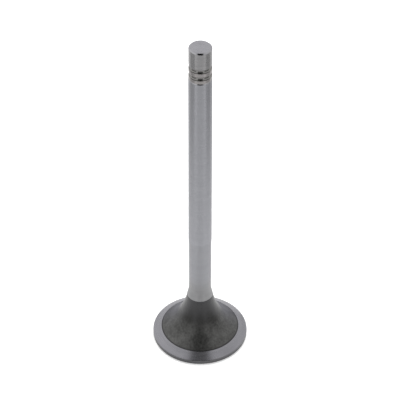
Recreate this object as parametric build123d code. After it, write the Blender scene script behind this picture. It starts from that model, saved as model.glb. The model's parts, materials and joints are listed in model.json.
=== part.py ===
from build123d import *
from math import cos, radians, sin, sqrt, tan
import os

# A poppet valve, forged and turned as one piece, standing on its head with the stem along +Z.
# Lengths are in millimetres and angles in degrees. The origin is the centre of the head's flat face.

# Head: a disc with a plain rim, the margin, and a ground seat above it
head_diameter = 37.1
margin_height = 1.73
margin_edge_radius = 0.35  # between the margin and the flat face
seat_width = 3.31  # measured along the radius
seat_angle = 30.0  # from the plane of the head

# Neck: a forged fillet sweeps up from the seat into a turned cone and a relieved shank
fillet_radius = 25.7
cone_angle = 11.3  # from the axis
neck_height = 24.5  # from the flat face to the corner of cone and shank
neck_relief = 0.16  # of the shank below the stem, on the radius
neck_blend_radius = 6.0  # in the corner of cone and shank
least_cone = 0.1  # straight cone left below that blend when the neck is short

# Stem: ground to slide in its guide
stem_diameter = 8.97
stem_start = 50.0  # from the flat face to the lower end of the ground length
runout_length = 3.0  # taper from the shank out to the stem
overall_length = 143.45

# Tip: a relieved end with round grooves for the keepers that hold the spring
tip_relief = 0.08  # below the stem, on the radius
tip_chamfer = 0.5
groove_count = 2
groove_radius = 0.83  # of the round bottom
groove_depth = 0.74
first_groove = 8.37  # from the tip to the middle of the nearest groove
groove_pitch = 3.26
last_land = 2.25  # from the middle of the farthest groove to the shoulder
undercut_depth = 0.4  # under the shoulder where the tip ends, below the stem, on the radius
undercut_angle = 45.0  # of its flank down to the stem, from the axis

# Values that follow
head_radius = head_diameter / 2
stem_radius = stem_diameter / 2
neck_radius = stem_radius - neck_relief
tip_radius = stem_radius - tip_relief
seat_inner_radius = head_radius - seat_width
seat_top = margin_height + seat_width * tan(radians(seat_angle))
groove_heights = [overall_length - first_groove - i * groove_pitch for i in range(groove_count)]
shoulder_height = groove_heights[-1] - last_land
undercut_height = undercut_depth / tan(radians(undercut_angle))


def fillet_top():
    """Length of the straight cone, then the point and downward direction where the fillet leaves it.

    The forged fillet is tangent to the cone there and ends on the inner edge of the seat.
    """
    down = Vector(sin(radians(cone_angle)), -cos(radians(cone_angle)))
    outward = Vector(cos(radians(cone_angle)), sin(radians(cone_angle)))
    corner = Vector(neck_radius, neck_height)
    to_seat = Vector(seat_inner_radius, seat_top) - corner
    seat_along = to_seat.dot(down)
    seat_offset = to_seat.dot(outward)
    arc_along = sqrt(seat_offset * (2 * fillet_radius - seat_offset))
    cone_length = seat_along - arc_along
    return cone_length, corner + down * cone_length, down


def half_section():
    """Outline of the valve on one side of its axis, as radius and height."""
    cone_length, arc_start, arc_direction = fillet_top()
    widest_blend = (cone_length - least_cone) / tan(radians(cone_angle / 2))
    seat_edge = (seat_inner_radius, seat_top)
    head = Polyline((0, overall_length), (0, 0), (head_radius, 0), (head_radius, margin_height), seat_edge)
    fillet_arc = TangentArc(arc_start, seat_edge, tangent=arc_direction)
    shank = Polyline(
        arc_start,
        (neck_radius, neck_height),
        (neck_radius, stem_start - runout_length),
        (stem_radius, stem_start),
        (stem_radius, shoulder_height - undercut_height),
        (stem_radius - undercut_depth, shoulder_height),
        (tip_radius, shoulder_height),
        (tip_radius, overall_length - tip_chamfer),
        (tip_radius - tip_chamfer, overall_length),
        (0, overall_length),
    )
    section = make_face(head + fillet_arc + shank)
    for corner, radius in (
        ((head_radius, 0), margin_edge_radius),
        ((neck_radius, neck_height), min(neck_blend_radius, widest_blend)),
    ):
        section = fillet(section.vertices().sort_by_distance(corner)[0], radius)
    groove_centre = tip_radius - groove_depth + groove_radius
    for height in groove_heights:
        section -= Pos(groove_centre, height) * Circle(groove_radius)
    return section


valve = revolve(Plane.XZ * half_section(), Axis.Z)

os.makedirs("parts", exist_ok=True)
export_step(valve, "parts/valve.step")
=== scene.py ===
import bpy
import json
from math import atan2, cos, hypot, pi, radians, sin, sqrt, tan
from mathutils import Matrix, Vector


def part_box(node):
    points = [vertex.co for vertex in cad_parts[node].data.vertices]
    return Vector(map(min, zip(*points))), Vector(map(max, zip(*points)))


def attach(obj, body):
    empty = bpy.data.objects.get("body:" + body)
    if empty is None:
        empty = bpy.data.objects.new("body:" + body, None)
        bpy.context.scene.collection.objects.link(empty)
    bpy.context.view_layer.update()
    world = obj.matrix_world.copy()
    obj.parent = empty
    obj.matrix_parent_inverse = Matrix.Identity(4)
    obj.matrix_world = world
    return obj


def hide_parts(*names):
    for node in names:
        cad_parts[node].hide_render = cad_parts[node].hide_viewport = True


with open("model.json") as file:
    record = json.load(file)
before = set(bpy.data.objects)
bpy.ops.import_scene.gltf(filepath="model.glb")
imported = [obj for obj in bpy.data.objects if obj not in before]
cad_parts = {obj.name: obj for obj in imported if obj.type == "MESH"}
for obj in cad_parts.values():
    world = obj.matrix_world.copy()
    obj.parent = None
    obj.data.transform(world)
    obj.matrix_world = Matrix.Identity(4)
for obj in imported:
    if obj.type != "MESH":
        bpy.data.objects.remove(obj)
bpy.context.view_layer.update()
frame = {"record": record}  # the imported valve, in metres, standing on its head
mm = 0.001

# The valve's sizes in mm. The head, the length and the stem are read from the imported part.
lowCorner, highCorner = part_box("valve")
stemMount = next(mount for mount in frame["record"]["mounts"] if mount["name"] == "stem")
blank = {
    "headRadius": (highCorner.x - lowCorner.x) / 2 / mm,
    "length": highCorner.z / mm,
    "stemRadius": stemMount["dims"]["r_mm"],
    "stemStart": stemMount["pos_m"][2] / mm - stemMount["dims"]["length_mm"] / 2,
    "marginHeight": 1.73,
    "marginEdge": 0.35,  # round edge between margin and flat face
    "seatWidth": 3.31,
    "seatAngle": 30,
    "filletRadius": 25.7,
    "forgedTop": 21,  # turning stops here and the forged skin begins
    "coneAngle": 11.3,
    "neckHeight": 24.5,
    "neckRelief": 0.16,
    "neckBlend": 6,
    "runout": 3,
    "tipRelief": 0.08,
    "tipChamfer": 0.5,
    "undercut": 0.4,  # under the shoulder, below the stem
    "undercutAngle": 45,
    "grooveRadius": 0.83,
    "grooveDepth": 0.74,
    "grooveCount": 2,
    "firstGroove": 8.37,  # tip to the middle of the upper groove
    "groovePitch": 3.26,
    "lastLand": 2.25,  # middle of the lower groove to the shoulder
    "edgeBreak": 0.05,  # tiny rounding on every sharp corner
    "edgeBreakFrom": 15,  # corners turning by fewer degrees stay as they are
    "edgeBreakSteps": 3,
    "hold": 0.15,  # extra point this far from the ends of a straight run
    "shortRun": 1,  # runs up to this long get no extra points
    "stepsAround": 256,
    "filletSteps": 40,
    "neckSteps": 6,
    "edgeSteps": 12,
    "grooveSteps": 24,
    "weld": 0.002,  # points this close become one
    "crease": 40,  # corners turning by more degrees shade sharp
    "grooveFrom": 0.03,  # faces this far below the lands belong to a groove
    "faceTop": 0.035,  # faces below this height belong to the flat face
}
neckRadius = blank["stemRadius"] - blank["neckRelief"]
tipRadius = blank["stemRadius"] - blank["tipRelief"]
seatInner = blank["headRadius"] - blank["seatWidth"]
seatTop = blank["marginHeight"] + blank["seatWidth"] * tan(radians(blank["seatAngle"]))
grooveHeights = [
    blank["length"] - blank["firstGroove"] - i * blank["groovePitch"]
    for i in reversed(range(blank["grooveCount"]))
]
shoulderTop = grooveHeights[0] - blank["lastLand"]
shoulderFoot = shoulderTop - blank["undercut"] / tan(radians(blank["undercutAngle"]))


# points along an arc, both ends included
def arcPoints(centre, radius, start, end, steps):
    turns = [start + (end - start) * i / steps for i in range(steps + 1)]
    return [(centre[0] + radius * cos(a), centre[1] + radius * sin(a)) for a in turns]


# forged sweep from the inner edge of the seat up to where it runs tangent into the cone
def filletPoints():
    tilt = radians(blank["coneAngle"])
    alongSeat = (seatInner - neckRadius) * sin(tilt) - (seatTop - blank["neckHeight"]) * cos(tilt)
    offSeat = (seatInner - neckRadius) * cos(tilt) + (seatTop - blank["neckHeight"]) * sin(tilt)
    run = alongSeat - sqrt(offSeat * (2 * blank["filletRadius"] - offSeat))
    centre = (
        neckRadius + run * sin(tilt) + blank["filletRadius"] * cos(tilt),
        blank["neckHeight"] - run * cos(tilt) + blank["filletRadius"] * sin(tilt),
    )
    seatTurn = atan2(seatTop - centre[1], seatInner - centre[0]) % (2 * pi)
    return arcPoints(centre, blank["filletRadius"], seatTurn, pi + tilt, blank["filletSteps"])


# soft corner where the cone meets the shank
def neckPoints():
    tilt = radians(blank["coneAngle"])
    rise = blank["neckBlend"] * tan(tilt / 2)
    centre = (neckRadius + blank["neckBlend"], blank["neckHeight"] + rise)
    return arcPoints(centre, blank["neckBlend"], pi + tilt, pi, blank["neckSteps"])


# round-bottomed keeper groove
def groovePoints(height):
    standOff = blank["grooveRadius"] - blank["grooveDepth"]
    half = atan2(sqrt(blank["grooveRadius"] ** 2 - standOff ** 2), standOff)
    centre = (tipRadius + standOff, height)
    return arcPoints(centre, blank["grooveRadius"], pi + half, pi - half, blank["grooveSteps"])


# a point close to both ends of every straight run keeps the broad faces shading flat up to their edges
def holdEnds(points):
    held = []
    for (r0, z0), (r1, z1) in zip(points, points[1:]):
        run = hypot(r1 - r0, z1 - z0)
        held.append((r0, z0))
        if run > blank["shortRun"]:
            for part in (blank["hold"] / run, 1 - blank["hold"] / run):
                held.append((r0 + (r1 - r0) * part, z0 + (z1 - z0) * part))
    return held + points[-1:]


# half section from the middle of the flat face, out and up to the middle of the tip
def valveOutline():
    edge = blank["marginEdge"]
    belowCorner = blank["neckHeight"] - blank["forgedTop"]
    forgedRadius = neckRadius + belowCorner * tan(radians(blank["coneAngle"]))
    points = [(0, 0)]
    points += arcPoints((blank["headRadius"] - edge, edge), edge, -pi / 2, 0, blank["edgeSteps"])
    points += [(blank["headRadius"], blank["marginHeight"])]
    points += filletPoints()
    points += [(forgedRadius, blank["forgedTop"])]
    points += neckPoints()
    points += [(neckRadius, blank["stemStart"] - blank["runout"])]
    points += [(blank["stemRadius"], blank["stemStart"]), (blank["stemRadius"], shoulderFoot)]
    points += [(blank["stemRadius"] - blank["undercut"], shoulderTop), (tipRadius, shoulderTop)]
    for height in grooveHeights:
        points += groovePoints(height)
    points += [(tipRadius, blank["length"] - blank["tipChamfer"])]
    points += [(tipRadius - blank["tipChamfer"], blank["length"]), (0, blank["length"])]
    return holdEnds(points)


# draw the half section point by point, then spin it into a solid
def turnValve():
    bpy.ops.object.select_all(action="DESELECT")
    bpy.ops.mesh.primitive_plane_add(size=mm, location=(0, 0, 0))
    piece = bpy.context.object
    piece.name = "turnedValve"
    bpy.ops.object.mode_set(mode="EDIT")
    bpy.ops.mesh.merge(type="CENTER")  # a single point to draw from
    outline = valveOutline()
    for (r0, z0), (r1, z1) in zip(outline, outline[1:]):
        step = ((r1 - r0) * mm, 0, (z1 - z0) * mm)
        bpy.ops.mesh.extrude_vertices_move(TRANSFORM_OT_translate={"value": step})
    bpy.ops.mesh.select_all(action="SELECT")
    bpy.ops.mesh.spin(steps=blank["stepsAround"], angle=2 * pi, center=(0, 0, 0), axis=(0, 0, 1))
    bpy.ops.mesh.select_all(action="SELECT")
    bpy.ops.mesh.remove_doubles(threshold=blank["weld"] * mm)
    bpy.ops.mesh.normals_make_consistent(inside=False)
    bpy.ops.object.mode_set(mode="OBJECT")
    bpy.ops.object.modifier_add(type="BEVEL")
    bevel = piece.modifiers[-1]
    bevel.width = blank["edgeBreak"] * mm
    bevel.segments = blank["edgeBreakSteps"]
    bevel.limit_method = "ANGLE"
    bevel.angle_limit = radians(blank["edgeBreakFrom"])
    bpy.ops.object.modifier_apply(modifier=bevel.name)
    bpy.ops.object.shade_smooth_by_angle(angle=radians(blank["crease"]))
    return piece


valve = turnValve()
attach(valve, "root")
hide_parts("valve")
print("valve turned,", len(valve.data.polygons), "faces")

# what the finishes share
texture = {
    "bandWidth": 8,  # broader bands among the tool lines, in line widths
    "bandShare": 0.6,  # of those bands in the tone, the rest is film
    "grey": (0.3, 0.7),  # noise between these values runs from dark to light and from smooth to rough
    "slant": 0.35,  # slope of the grinding lines across the tip's end
    "quarterTurn": 0.25,  # stretches highlights across the tool lines
    "depth": 0.25,  # bumps are this part of their width deep
    "skinFilm": 0.5,  # share of film in the forged skin's tone, the rest is grain
    "skinGrey": (0.35, 0.65),
    "pits": (0.1, 0.45),  # from the floor of a pit to its rim, as part of the spacing
    "pitDepth": 0.5,  # against 1 for the grain
    "lineGap": 0.1,  # mm, between the seat's edge and the blackest part of the dark line
}


# small helpers for the finishes
def addNode(tree, kind, inputs=None, **settings):
    node = tree.nodes.new(kind)
    for name, value in settings.items():
        setattr(node, name, value)
    for name, value in (inputs or {}).items():
        node.inputs[name].default_value = value
    return node


def mathNode(tree, operation, first, second=None):
    node = addNode(tree, "ShaderNodeMath", operation=operation)
    for socket, value in zip(node.inputs, (first, second)):
        if value is None:
            continue
        if isinstance(value, (int, float)):
            socket.default_value = value
        else:
            tree.links.new(value, socket)
    return node.outputs[0]


def rangeNode(tree, value, fromLow, fromHigh, toLow, toHigh, kind="LINEAR"):
    limits = {"From Min": fromLow, "From Max": fromHigh, "To Min": toLow, "To Max": toHigh}
    node = addNode(tree, "ShaderNodeMapRange", limits, interpolation_type=kind)
    tree.links.new(value, node.inputs["Value"])
    return node.outputs["Result"]


# the same with soft ends
def fadeNode(tree, value, *limits):
    return rangeNode(tree, value, *limits, kind="SMOOTHSTEP")


# distance from the valve's axis
def axisDistance(tree, place):
    squares = [mathNode(tree, "MULTIPLY", place.outputs[i], place.outputs[i]) for i in (0, 1)]
    return mathNode(tree, "SQRT", mathNode(tree, "ADD", *squares))


def mixColours(tree, factor, first, second):
    node = addNode(tree, "ShaderNodeMix", data_type="RGBA")
    tree.links.new(factor, node.inputs["Factor"])
    for socket, value in ((node.inputs[6], first), (node.inputs[7], second)):  # its colour sockets
        if isinstance(value, tuple):
            socket.default_value = (*value, 1)
        else:
            tree.links.new(value, socket)
    return node.outputs[2]


# 1 for rays that come from metal or glass
def mirrorRay(tree, path):
    return mathNode(tree, "MAXIMUM", path.outputs["Is Glossy Ray"], path.outputs["Is Transmission Ray"])


# two values in one, the first with this share
def blendValues(tree, first, second, share):
    first = mathNode(tree, "MULTIPLY", first, share)
    return mathNode(tree, "ADD", first, mathNode(tree, "MULTIPLY", second, 1 - share))


def addBump(tree, shader, height, strength, width):
    depth = width * texture["depth"] * mm
    bump = addNode(tree, "ShaderNodeBump", {"Strength": strength, "Distance": depth})
    tree.links.new(height, bump.inputs["Height"])
    tree.links.new(bump.outputs[0], shader.inputs["Normal"])


# fine lines left by the wheel or the tool: they run round the axis and vary along Across
def makeToolLines():
    group = bpy.data.node_groups.new("toolLines", "ShaderNodeTree")
    for name, value in (("Across", 0), ("Width", 0.1), ("Length", 12)):
        socket = group.interface.new_socket(name, in_out="INPUT", socket_type="NodeSocketFloat")
        socket.default_value = value
    group.interface.new_socket("Lines", in_out="OUTPUT", socket_type="NodeSocketFloat")
    group.interface.new_socket("Bands", in_out="OUTPUT", socket_type="NodeSocketFloat")
    given = addNode(group, "NodeGroupInput")
    place = addNode(group, "ShaderNodeSeparateXYZ")
    coords = addNode(group, "ShaderNodeTexCoord")
    group.links.new(coords.outputs["Object"], place.inputs[0])
    lengthScale = mathNode(group, "DIVIDE", 1 / mm, given.outputs["Length"])
    widthScale = mathNode(group, "DIVIDE", 1 / mm, given.outputs["Width"])
    found = []
    for coarser in (1, texture["bandWidth"]):
        spot = addNode(group, "ShaderNodeCombineXYZ")
        group.links.new(mathNode(group, "MULTIPLY", place.outputs["X"], lengthScale), spot.inputs["X"])
        group.links.new(mathNode(group, "MULTIPLY", place.outputs["Y"], lengthScale), spot.inputs["Y"])
        across = mathNode(group, "MULTIPLY", given.outputs["Across"], widthScale)
        group.links.new(mathNode(group, "DIVIDE", across, coarser), spot.inputs["Z"])
        noise = addNode(group, "ShaderNodeTexNoise", {"Scale": 1, "Detail": 3, "Roughness": 0.6})
        group.links.new(spot.outputs[0], noise.inputs["Vector"])
        found.append(noise.outputs["Fac"])
    result = addNode(group, "NodeGroupOutput")
    group.links.new(found[0], result.inputs["Lines"])
    group.links.new(found[1], result.inputs["Bands"])
    return group


# slow cloudy change over a surface, such as an oil film or plating
def makeFilm():
    group = bpy.data.node_groups.new("film", "ShaderNodeTree")
    socket = group.interface.new_socket("Patch Size", in_out="INPUT", socket_type="NodeSocketFloat")
    socket.default_value = 8
    group.interface.new_socket("Film", in_out="OUTPUT", socket_type="NodeSocketFloat")
    given = addNode(group, "NodeGroupInput")
    coords = addNode(group, "ShaderNodeTexCoord")
    noise = addNode(group, "ShaderNodeTexNoise", {"Detail": 4, "Roughness": 0.55})
    group.links.new(coords.outputs["Object"], noise.inputs["Vector"])
    scale = mathNode(group, "DIVIDE", 1 / mm, given.outputs["Patch Size"])
    group.links.new(scale, noise.inputs["Scale"])
    result = addNode(group, "NodeGroupOutput")
    group.links.new(noise.outputs["Fac"], result.inputs["Film"])
    return group


toolLines = makeToolLines()
film = makeFilm()


# bright metal with tool lines; "along" says if they stack up the axis, out along the radius or slantwise
def cutSteel(name, look):
    material = bpy.data.materials.new(name)
    material.use_nodes = True
    tree = material.node_tree
    shader = tree.nodes["Principled BSDF"]
    shader.inputs["Metallic"].default_value = 1
    shader.inputs["Anisotropic"].default_value = look["anisotropy"]
    shader.inputs["Anisotropic Rotation"].default_value = texture["quarterTurn"]
    shader.inputs["Specular Tint"].default_value = (*look["edge"], 1)
    tangent = addNode(tree, "ShaderNodeTangent", direction_type="RADIAL", axis="Z")
    tree.links.new(tangent.outputs[0], shader.inputs["Tangent"])
    coords = addNode(tree, "ShaderNodeTexCoord")
    place = addNode(tree, "ShaderNodeSeparateXYZ")
    tree.links.new(coords.outputs["Object"], place.inputs[0])
    across = place.outputs["Z"]
    if look["along"] == "radius":
        across = axisDistance(tree, place)
    if look["along"] == "slant":
        shift = mathNode(tree, "MULTIPLY", place.outputs["X"], texture["slant"])
        across = mathNode(tree, "ADD", place.outputs["Y"], shift)
    lines = addNode(tree, "ShaderNodeGroup", node_tree=toolLines)
    lines.inputs["Width"].default_value = look["lineWidth"]
    lines.inputs["Length"].default_value = look["lineLength"]
    tree.links.new(across, lines.inputs["Across"])
    cloud = addNode(tree, "ShaderNodeGroup", node_tree=film)
    cloud.inputs["Patch Size"].default_value = look["patchSize"]
    tone = blendValues(tree, lines.outputs["Bands"], cloud.outputs["Film"], texture["bandShare"])
    tone = rangeNode(tree, tone, *texture["grey"], 0, 1)
    colour = mixColours(tree, tone, look["dark"], look["light"])
    if "foot" in look:  # another tone towards the lower end
        foot = mixColours(tree, tone, look["foot"]["dark"], look["foot"]["light"])
        footHeights = [h * mm for h in look["foot"]["heights"]]
        fade = fadeNode(tree, place.outputs["Z"], *footHeights, 1, 0)
        colour = mixColours(tree, fade, colour, foot)
    tree.links.new(colour, shader.inputs["Base Color"])
    roughness = rangeNode(tree, lines.outputs["Lines"], *texture["grey"], *look["roughness"])
    tree.links.new(roughness, shader.inputs["Roughness"])
    addBump(tree, shader, lines.outputs["Lines"], look["bump"], look["lineWidth"])
    return material


# skin left by the forge: satin, faintly pitted and mottled, blackest in a line beside the ground seat;
# higher up it turns to a scale that mirrors less like a metal, and its colour there is painted darker as
# shade for the dark front it mirrors
def forgedSteel(name, look):
    material = bpy.data.materials.new(name)
    material.use_nodes = True
    tree = material.node_tree
    shader = tree.nodes["Principled BSDF"]
    shader.inputs["Specular Tint"].default_value = (*look["edge"], 1)
    coords = addNode(tree, "ShaderNodeTexCoord")
    place = addNode(tree, "ShaderNodeSeparateXYZ")
    tree.links.new(coords.outputs["Object"], place.inputs[0])
    radius = axisDistance(tree, place)
    cloud = addNode(tree, "ShaderNodeGroup", node_tree=film)
    cloud.inputs["Patch Size"].default_value = look["patchSize"]
    grain = addNode(tree, "ShaderNodeTexNoise", {"Scale": 1 / (look["grainSize"] * mm), "Detail": 3})
    tree.links.new(coords.outputs["Object"], grain.inputs["Vector"])
    pits = addNode(tree, "ShaderNodeTexVoronoi", {"Scale": 1 / (look["pitSpacing"] * mm)})
    tree.links.new(coords.outputs["Object"], pits.inputs["Vector"])
    tone = blendValues(tree, cloud.outputs["Film"], grain.outputs["Fac"], texture["skinFilm"])
    tone = rangeNode(tree, tone, *texture["skinGrey"], 0, 1)
    colour = mixColours(tree, tone, look["dark"], look["light"])
    lineRadii = [(seatInner - gap) * mm for gap in (look["lineWidth"], texture["lineGap"])]
    seatEdgeLine = fadeNode(tree, radius, *lineRadii, 0, 1)
    colour = mixColours(tree, seatEdgeLine, colour, look["line"])
    # partly painted shade: higher up the colour darkens for the dark front mirrored there; the skin also
    # turns to a scale that mirrors less like a metal
    burntAndShadedHeights = [h * mm for h in look["burntAndShadedFrom"]]
    burnAndShade = fadeNode(tree, place.outputs["Z"], *burntAndShadedHeights, 0, look["burnAndShade"])
    colour = mixColours(tree, burnAndShade, colour, look["burntAndShaded"])
    tree.links.new(colour, shader.inputs["Base Color"])
    roughness = rangeNode(tree, grain.outputs["Fac"], *texture["grey"], *look["roughness"])
    sheen = fadeNode(tree, place.outputs["Z"], *burntAndShadedHeights, 1, look["sheen"])
    tree.links.new(mathNode(tree, "MULTIPLY", roughness, sheen), shader.inputs["Roughness"])
    metal = fadeNode(tree, place.outputs["Z"], *burntAndShadedHeights, 1, look["burntMetal"])
    tree.links.new(metal, shader.inputs["Metallic"])
    shader.inputs["IOR"].default_value = look["scaleIor"]
    pitHeight = fadeNode(tree, pits.outputs["Distance"], *texture["pits"], 0, texture["pitDepth"])
    height = mathNode(tree, "ADD", pitHeight, grain.outputs["Fac"])
    addBump(tree, shader, height, look["bump"], look["grainSize"])
    return material


finishes = {
    "stem": cutSteel("groundStem", {
        "dark": (0.33, 0.333, 0.356), "light": (0.366, 0.369, 0.392), "edge": (0.8, 0.8, 0.8),
        "roughness": (0.26, 0.33), "anisotropy": 0.8,
        "along": "axis", "lineWidth": 0.12, "lineLength": 14, "patchSize": 22, "bump": 0.03}),
    "neck": cutSteel("turnedNeck", {
        "dark": (0.343, 0.346, 0.367), "light": (0.382, 0.385, 0.406), "edge": (0.8, 0.8, 0.8),
        "foot": {"dark": (0.302, 0.302, 0.308), "light": (0.36, 0.36, 0.366), "heights": (25.5, 33)},
        "roughness": (0.34, 0.42), "anisotropy": 0.7,
        "along": "axis", "lineWidth": 0.28, "lineLength": 30, "patchSize": 9, "bump": 0.1}),
    "forged": forgedSteel("forgedSkin", {
        "dark": (0.086, 0.086, 0.083), "light": (0.168, 0.168, 0.163), "line": (0.055, 0.055, 0.055),
        # the burnt colour is partly painted shade for the dark front mirrored near the top of the skin
        "edge": (0.67, 0.67, 0.735), "burntAndShaded": (0.0115, 0.011, 0.004), "burntAndShadedFrom": (9.5, 13.5),
        "burnAndShade": 0.9, "sheen": 0.84, "burntMetal": 0, "scaleIor": 1.82,
        "roughness": (0.37, 0.47), "patchSize": 3, "grainSize": 0.8, "pitSpacing": 0.9, "lineWidth": 0.6,
        "bump": 0.2}),
    "seat": cutSteel("groundSeat", {
        "dark": (0.28, 0.277, 0.299), "light": (0.342, 0.339, 0.363), "edge": (0.8, 0.8, 0.8),
        "roughness": (0.2, 0.28), "anisotropy": 0.3,
        "along": "radius", "lineWidth": 0.16, "lineLength": 9, "patchSize": 7, "bump": 0.08}),
    # painted shade: the margin is coloured much darker than the other turned steel, for the shadowed
    # floor it mirrors at its foot
    "margin": cutSteel("turnedMarginPaintedShade", {
        "dark": (0.105, 0.105, 0.11), "light": (0.15, 0.15, 0.155), "edge": (1, 1, 1),
        "roughness": (0.3, 0.4), "anisotropy": 0.4,
        "along": "axis", "lineWidth": 0.2, "lineLength": 20, "patchSize": 6, "bump": 0.08}),
    "face": cutSteel("turnedFace", {
        "dark": (0.26, 0.26, 0.27), "light": (0.33, 0.33, 0.34), "edge": (0.8, 0.8, 0.8),
        "roughness": (0.28, 0.38), "anisotropy": 0.5,
        "along": "radius", "lineWidth": 0.3, "lineLength": 25, "patchSize": 8, "bump": 0.1}),
    "tip": cutSteel("tipSteel", {
        "dark": (0.292, 0.289, 0.294), "light": (0.348, 0.345, 0.35), "edge": (1, 1, 1),
        "roughness": (0.24, 0.3), "anisotropy": 0.75,
        "along": "axis", "lineWidth": 0.14, "lineLength": 8, "patchSize": 3, "bump": 0.04}),
    "land": cutSteel("grooveLand", {
        "dark": (0.311, 0.297, 0.294), "light": (0.367, 0.351, 0.347), "edge": (1, 1, 1),
        "roughness": (0.24, 0.3), "anisotropy": 0.75,
        "along": "axis", "lineWidth": 0.14, "lineLength": 8, "patchSize": 3, "bump": 0.04}),
    # painted shade: the grooves are coloured darker than the lands, with a weaker edge tint, for the
    # shade in the recess
    "groove": cutSteel("turnedGroovePaintedShade", {
        "dark": (0.24, 0.235, 0.228), "light": (0.3, 0.294, 0.286), "edge": (0.6, 0.6, 0.6),
        "roughness": (0.09, 0.15), "anisotropy": 0.3,
        "along": "axis", "lineWidth": 0.1, "lineLength": 8, "patchSize": 3, "bump": 0.04}),
    # painted highlight: the chamfers at the tip and the shoulder are coloured lighter than the steel
    # beside them, for the bright lobes they mirror
    "chamfer": cutSteel("tipChamfer", {
        "dark": (0.39, 0.387, 0.407), "light": (0.45, 0.447, 0.467), "edge": (0.8, 0.8, 0.8),
        "roughness": (0.17, 0.23), "anisotropy": 0.3,
        "along": "axis", "lineWidth": 0.08, "lineLength": 8, "patchSize": 3, "bump": 0.03}),
    "tipEnd": cutSteel("groundTip", {
        "dark": (0.364, 0.361, 0.388), "light": (0.443, 0.44, 0.467), "edge": (0.8, 0.8, 0.8),
        "roughness": (0.22, 0.32), "anisotropy": 0.2,
        "along": "slant", "lineWidth": 0.12, "lineLength": 4, "patchSize": 2, "bump": 0.08}),
}


# which finish a face belongs to, by its radius and height in mm
def zoneOf(r, z):
    if z < blank["marginHeight"]:
        return "face" if z < blank["faceTop"] else "margin"
    if z < seatTop and r > seatInner:
        return "seat"
    if z < blank["forgedTop"]:
        return "forged"
    if z < blank["stemStart"]:
        return "neck"
    if z < shoulderFoot:
        return "stem"
    if z < shoulderTop:
        return "chamfer"
    if z > blank["length"] - blank["tipChamfer"]:
        return "tipEnd" if r < tipRadius - blank["tipChamfer"] else "chamfer"
    if r < tipRadius - blank["grooveFrom"]:
        return "groove"
    return "land" if z < grooveHeights[-1] else "tip"


def dressValve():
    zones = list(finishes)
    valve.data.materials.clear()
    for zone in zones:
        valve.data.materials.append(finishes[zone])
    for face in valve.data.polygons:
        r = hypot(face.center.x, face.center.y) / mm
        face.material_index = zones.index(zoneOf(r, face.center.z / mm))


dressValve()
print("finishes on:", ", ".join(finishes))

# sheet of white paper; camera and mirror rays see a little light of its own, so it reads as white
floorLook = {
    "wide": 0.25,  # metres, as is what follows up to the drop
    "front": -0.45,
    "back": 1.2,
    "drop": 0.02,  # mm below the valve
    "colour": (0.86, 0.86, 0.86),
    "roughness": 0.9,
    "gloss": 0.1,
    "glow": 0.32,  # for mirror rays
    "cameraGlow": (0.47, 1),  # beside the valve, where its shadow shows, and far from it
    "shadeReach": (0.05, 0.13),  # metres from the valve's axis, between those two
}


def layFloor():
    bpy.ops.object.select_all(action="DESELECT")
    middle = (floorLook["front"] + floorLook["back"]) / 2
    bpy.ops.mesh.primitive_plane_add(size=1, location=(0, middle, -floorLook["drop"] * mm))
    floor = bpy.context.object
    floor.name = "floor"
    floor.scale = (floorLook["wide"], floorLook["back"] - floorLook["front"], 1)
    bpy.ops.object.transform_apply(location=True, rotation=False, scale=True)
    material = bpy.data.materials.new("whiteFloor")
    material.use_nodes = True
    tree = material.node_tree
    shader = tree.nodes["Principled BSDF"]
    shader.inputs["Base Color"].default_value = (*floorLook["colour"], 1)
    shader.inputs["Roughness"].default_value = floorLook["roughness"]
    shader.inputs["Specular IOR Level"].default_value = floorLook["gloss"]
    shader.inputs["Emission Color"].default_value = (1, 1, 1, 1)
    path = addNode(tree, "ShaderNodeLightPath")
    mirrored = mathNode(tree, "MULTIPLY", mirrorRay(tree, path), floorLook["glow"])
    coords = addNode(tree, "ShaderNodeTexCoord")
    away = addNode(tree, "ShaderNodeVectorMath", operation="LENGTH")
    tree.links.new(coords.outputs["Object"], away.inputs[0])
    direct = fadeNode(tree, away.outputs["Value"], *floorLook["shadeReach"], *floorLook["cameraGlow"])
    direct = mathNode(tree, "MULTIPLY", path.outputs["Is Camera Ray"], direct)
    tree.links.new(mathNode(tree, "MAXIMUM", mirrored, direct), shader.inputs["Emission Strength"])
    floor.data.materials.append(material)


# white tent round the valve, open in front, with a dim gap low down on either side; white to the camera
tentLook = {
    "white": 0.2,  # light it gives; metal mirrors it at full strength
    "frontWide": (0.3, 0.46),  # across the front opening, as part of the direction
    "frontDeep": (-0.26, -0.1),
    "frontTaper": (0.8, 0.97, 1.8),  # from this height to this one the opening narrows by this much
    "frontGlow": (0.42, 0.2, 0.5),  # light left in its lower part, fading out between these heights
    "gapTurn": (44, 58, 97, 121),  # degrees round from the front
    "gapTop": (0.25, 0.45),
    "gapFoot": (-0.3, 0.08),
    "gapDim": (0.45, 0.84),  # below the foot and above it
    "gapLean": 14,  # degrees further forward above the foot
    "rightDim": 0.17,  # the right side is a little dimmer than the left
    "rightFoot": (-0.6, -0.25),  # from the second of these heights up
    "topDim": (0.12, 0.6, 0.85),  # the top dims too, from one of these heights to the other
}


def dimBy(tree, lit, part):
    return mathNode(tree, "MULTIPLY", lit, mathNode(tree, "SUBTRACT", 1, part))


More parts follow.
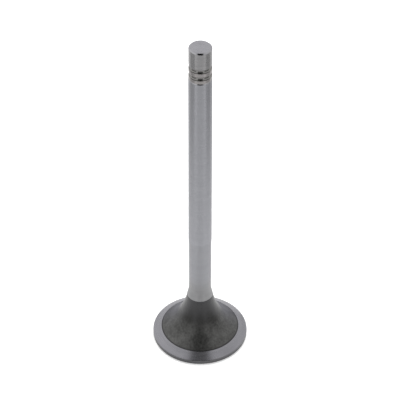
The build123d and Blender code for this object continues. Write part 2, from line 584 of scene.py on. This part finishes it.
def pitchTent():
    world = bpy.data.worlds.new("tent")
    bpy.context.scene.world = world
    world.use_nodes = True
    tree = world.node_tree
    coords = addNode(tree, "ShaderNodeTexCoord")
    aim = addNode(tree, "ShaderNodeSeparateXYZ")
    tree.links.new(coords.outputs["Generated"], aim.inputs[0])
    side = mathNode(tree, "ABSOLUTE", aim.outputs["X"])
    taperFoot, taperTop, narrower = tentLook["frontTaper"]
    taper = rangeNode(tree, aim.outputs["Z"], taperFoot, taperTop, 1, narrower)
    acrossFront = mathNode(tree, "MULTIPLY", side, taper)
    acrossFront = fadeNode(tree, acrossFront, *tentLook["frontWide"], 0, 1)
    beyondFront = fadeNode(tree, aim.outputs["Y"], *tentLook["frontDeep"], 0, 1)
    lit = mathNode(tree, "MAXIMUM", acrossFront, beyondFront)
    glow, glowFoot, glowTop = tentLook["frontGlow"]
    frontLight = fadeNode(tree, aim.outputs["Z"], glowFoot, glowTop, glow, 0)
    lit = mathNode(tree, "MAXIMUM", lit, frontLight)
    turn = mathNode(tree, "ARCTAN2", side, mathNode(tree, "MULTIPLY", aim.outputs["Y"], -1))
    lean = fadeNode(tree, aim.outputs["Z"], *tentLook["gapFoot"], 0, radians(tentLook["gapLean"]))
    turn = mathNode(tree, "ADD", turn, lean)
    gapStart, gapFull, gapLast, gapEnd = (radians(angle) for angle in tentLook["gapTurn"])
    intoGap = fadeNode(tree, turn, gapStart, gapFull, 0, 1)
    outOfGap = fadeNode(tree, turn, gapLast, gapEnd, 1, 0)
    belowTop = fadeNode(tree, aim.outputs["Z"], *tentLook["gapTop"], 1, 0)
    depth = fadeNode(tree, aim.outputs["Z"], *tentLook["gapFoot"], *tentLook["gapDim"])
    gap = mathNode(tree, "MULTIPLY", mathNode(tree, "MULTIPLY", intoGap, outOfGap), belowTop)
    lit = dimBy(tree, lit, mathNode(tree, "MULTIPLY", gap, depth))
    toRight = rangeNode(tree, aim.outputs["X"], -1, 1, 0, tentLook["rightDim"])
    aboveFoot = fadeNode(tree, aim.outputs["Z"], *tentLook["rightFoot"], 0, 1)
    lit = dimBy(tree, lit, mathNode(tree, "MULTIPLY", toRight, aboveFoot))
    topDim, topFoot, topFull = tentLook["topDim"]
    lit = dimBy(tree, lit, fadeNode(tree, aim.outputs["Z"], topFoot, topFull, 0, topDim))
    path = addNode(tree, "ShaderNodeLightPath")
    share = rangeNode(tree, mirrorRay(tree, path), 0, 1, tentLook["white"], 1)
    level = mathNode(tree, "MULTIPLY", lit, share)
    level = mathNode(tree, "MAXIMUM", level, path.outputs["Is Camera Ray"])
    backdrop = tree.nodes["Background"]
    backdrop.inputs["Color"].default_value = (1, 1, 1, 1)
    tree.links.new(level, backdrop.inputs["Strength"])


# one large softbox above and behind, in metres
softbox = {"place": (0, 0.1, 0.36), "size": 0.2, "watts": 1.4}


def hangSoftbox():
    bpy.ops.object.light_add(type="AREA", location=softbox["place"])
    lamp = bpy.context.object
    lamp.name = "softbox"
    lamp.data.size = softbox["size"]
    lamp.data.energy = softbox["watts"]
    lamp.visible_camera = False
    lamp.visible_glossy = False  # the metal mirrors the tent and the floor only
    lamp.rotation_euler = (-atan2(softbox["place"][1], softbox["place"][2]), 0, 0)


# long lens looking down at the valve from the front, in mm and degrees
viewpoint = {"elevation": 41.504, "distance": 946.22, "aimHeight": 69.757, "focal": 224.09, "sensor": 36,
             "side": -0.05, "roll": 0.08, "nearest": 10}


def setCamera():
    tilt = radians(viewpoint["elevation"])
    place = (
        viewpoint["side"] * mm,
        -viewpoint["distance"] * cos(tilt) * mm,
        (viewpoint["aimHeight"] + viewpoint["distance"] * sin(tilt)) * mm,
    )
    bpy.ops.object.camera_add(location=place, rotation=(pi / 2 - tilt, 0, 0))
    camera = bpy.context.object
    camera.rotation_euler.rotate_axis("Z", radians(viewpoint["roll"]))
    camera.data.lens = viewpoint["focal"]
    camera.data.sensor_width = viewpoint["sensor"]
    camera.data.clip_start = viewpoint["nearest"] * mm
    bpy.context.scene.camera = camera


layFloor()
pitchTent()
hangSoftbox()
setCamera()
bpy.context.scene.view_settings.view_transform = "Standard"
print("floor, tent, softbox and camera set")
